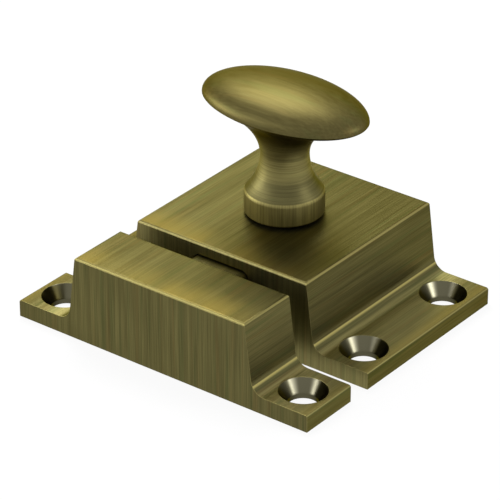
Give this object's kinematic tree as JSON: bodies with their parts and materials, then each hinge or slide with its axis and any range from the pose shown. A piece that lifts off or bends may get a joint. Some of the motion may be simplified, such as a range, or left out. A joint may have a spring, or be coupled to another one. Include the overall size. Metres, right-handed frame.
{
  "type": "cabinet lock",
  "caption": "Surface cupboard-turn lock: an oval knob turns and draws a sprung bolt out of a facing keeper; both castings have countersunk flanges.",
  "frame": {"origin": "on the knob's axis, at the centre of the latch's four screw holes, in the mounting plane", "axes": "+X along the flanges, +Y from the keeper to the latch, +Z out of the mounting plane along the knob's axis"},
  "size_m": [0.0584, 0.0499, 0.0385],
  "materials": {
    "latch_brass": "antique brass, brushed and lacquered",
    "keeper_brass": "antique brass, brushed and lacquered",
    "knob_brass": "antique brass, brushed and lacquered",
    "bolt_brass": "antique brass, brushed",
    "dark_steel": "blackened steel washer",
    "mechanism_steel": "zinc plated steel",
    "spring_steel": "drawn spring wire",
    "plate_steel": "zinc plated sheet"
  },
  "bodies": {
    "mounting": {"latch_housing": "latch_brass", "keeper": "keeper_brass", "back_plate": "plate_steel", "back_plate_screw_1": "plate_steel", "back_plate_screw_2": "plate_steel", "back_plate_screw_3": "plate_steel", "back_plate_screw_4": "plate_steel", "spring_guide_left": "mechanism_steel", "spring_guide_right": "mechanism_steel", "bolt_spring_left": "spring_steel", "bolt_spring_right": "spring_steel"},
    "turn": {"knob": "knob_brass", "spindle": "mechanism_steel", "knob_washer": "dark_steel", "friction_washer": "spring_steel", "retaining_clip": "spring_steel", "crank_arm": "mechanism_steel", "lock_washer": "spring_steel", "crank_screw": "mechanism_steel"},
    "bolt": {"bolt": "bolt_brass"}
  },
  "joints": [
    {"name": "knob_turn", "type": "hinge", "parent": "mounting", "child": "turn", "pos_m": [0, 0, 0.015], "axis": [0, 0, -1], "range_deg": [0, 60]},
    {"name": "bolt_slide", "type": "slide", "parent": "mounting", "child": "bolt", "axis": [0, 1, 0], "range_m": [0, 0.006], "stiffness_N_per_m": 300, "springref_m": -0.002, "deforming": ["bolt_spring_left", "bolt_spring_right"]}
  ],
  "couplings": [
    {"joint": "knob_turn", "follows": "bolt_slide", "rad_per_m": 174.53}
  ]
}
